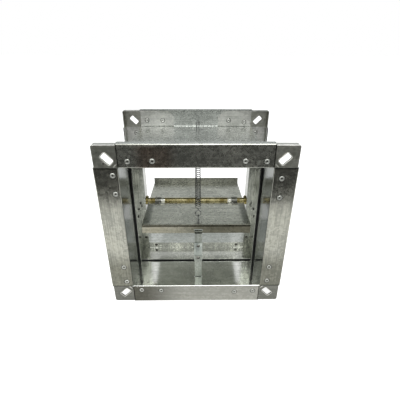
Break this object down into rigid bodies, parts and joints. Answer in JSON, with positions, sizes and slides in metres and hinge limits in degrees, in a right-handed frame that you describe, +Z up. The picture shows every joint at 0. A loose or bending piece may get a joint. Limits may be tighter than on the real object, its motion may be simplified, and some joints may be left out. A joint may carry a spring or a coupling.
{
  "type": "fire damper",
  "caption": "Rectangular duct fire damper: flanged sheet casing with a pivoting blade held open by a fusible link and pulled shut by a spring.",
  "frame": {"origin": "centre of the casing, on the blade shaft's axis", "axes": "+Z up, +Y along the airway from the front flange to the rear one, +X to the right seen from the front, along the shaft"},
  "size_m": [0.262, 0.2, 0.262],
  "materials": {
    "blade_sheet": "galvanised sheet",
    "brass_bush": "turned brass",
    "galvanised_corner": "pressed galvanised steel",
    "galvanised_sheet": "hot-dip galvanised, fine spangle",
    "link_metal": "tinned link plate",
    "rivet_steel": "plated steel rivet",
    "saddle_steel": "grey zinc plated steel",
    "seal": "black intumescent strip",
    "spring_steel": "drawn spring wire",
    "strap_steel": "thin galvanised strap",
    "zinc_shaft": "yellow zinc plated steel"
  },
  "bodies": {
    "casing": {"bearing_bracket_left": "galvanised_sheet", "bearing_bracket_right": "galvanised_sheet", "bracket_rivets": "rivet_steel", "bush_left": "brass_bush", "bush_right": "brass_bush", "casing_bottom": "galvanised_sheet", "casing_left": "galvanised_sheet", "casing_right": "galvanised_sheet", "casing_top": "galvanised_sheet", "corner_front_bottom_left": "galvanised_corner", "corner_front_bottom_right": "galvanised_corner", "corner_front_top_left": "galvanised_corner", "corner_front_top_right": "galvanised_corner", "corner_rear_bottom_left": "galvanised_corner", "corner_rear_bottom_right": "galvanised_corner", "corner_rear_top_left": "galvanised_corner", "corner_rear_top_right": "galvanised_corner", "gusset_rivets": "rivet_steel", "link_lower_plate": "link_metal", "link_lower_rivet": "rivet_steel", "link_lower_strap": "strap_steel", "seal_strip_bottom": "seal", "seal_strip_left": "seal", "seal_strip_right": "seal", "seal_strip_top": "seal", "spring_anchor_hook": "spring_steel", "spring_coil": "spring_steel", "stop_angle_bottom": "galvanised_sheet", "stop_angle_left": "galvanised_sheet", "stop_angle_right": "galvanised_sheet", "stop_angle_top": "galvanised_sheet", "stop_gusset_bottom_left": "galvanised_sheet", "stop_gusset_bottom_right": "galvanised_sheet", "stop_gusset_top_left": "galvanised_sheet", "stop_gusset_top_right": "galvanised_sheet"},
    "blade_assembly": {"blade": "blade_sheet", "shaft": "zinc_shaft", "shaft_saddle_left": "saddle_steel", "shaft_saddle_right": "saddle_steel", "saddle_rivets": "rivet_steel", "shaft_collar_left": "brass_bush", "shaft_collar_right": "brass_bush", "spring_ring": "spring_steel"},
    "spring_hook": {"spring_lower_hook": "spring_steel"},
    "upper_link": {"link_upper_strap": "strap_steel", "link_upper_plate": "link_metal", "link_upper_rivet": "rivet_steel"}
  },
  "joints": [
    {"name": "blade_turn", "type": "hinge", "parent": "casing", "child": "blade_assembly", "pos_m": [0, 0, 0], "axis": [-1, 0, 0], "range_deg": [0, 88], "deforming": ["spring_coil"]},
    {"name": "spring_hook_swing", "type": "hinge", "parent": "blade_assembly", "child": "spring_hook", "pos_m": [0.0029, -0.06987, 0.00479], "axis": [1, 0, 0], "range_deg": [0, 77]},
    {"name": "link_hang", "type": "hinge", "parent": "blade_assembly", "child": "upper_link", "pos_m": [0.0029, -0.07988, -0.01099], "axis": [1, 0, 0], "range_deg": [0, 89]}
  ],
  "couplings": [
    {"joint": "spring_hook_swing", "follows": "blade_turn", "ratio": 0.8608},
    {"joint": "link_hang", "follows": "blade_turn", "ratio": 1}
  ]
}
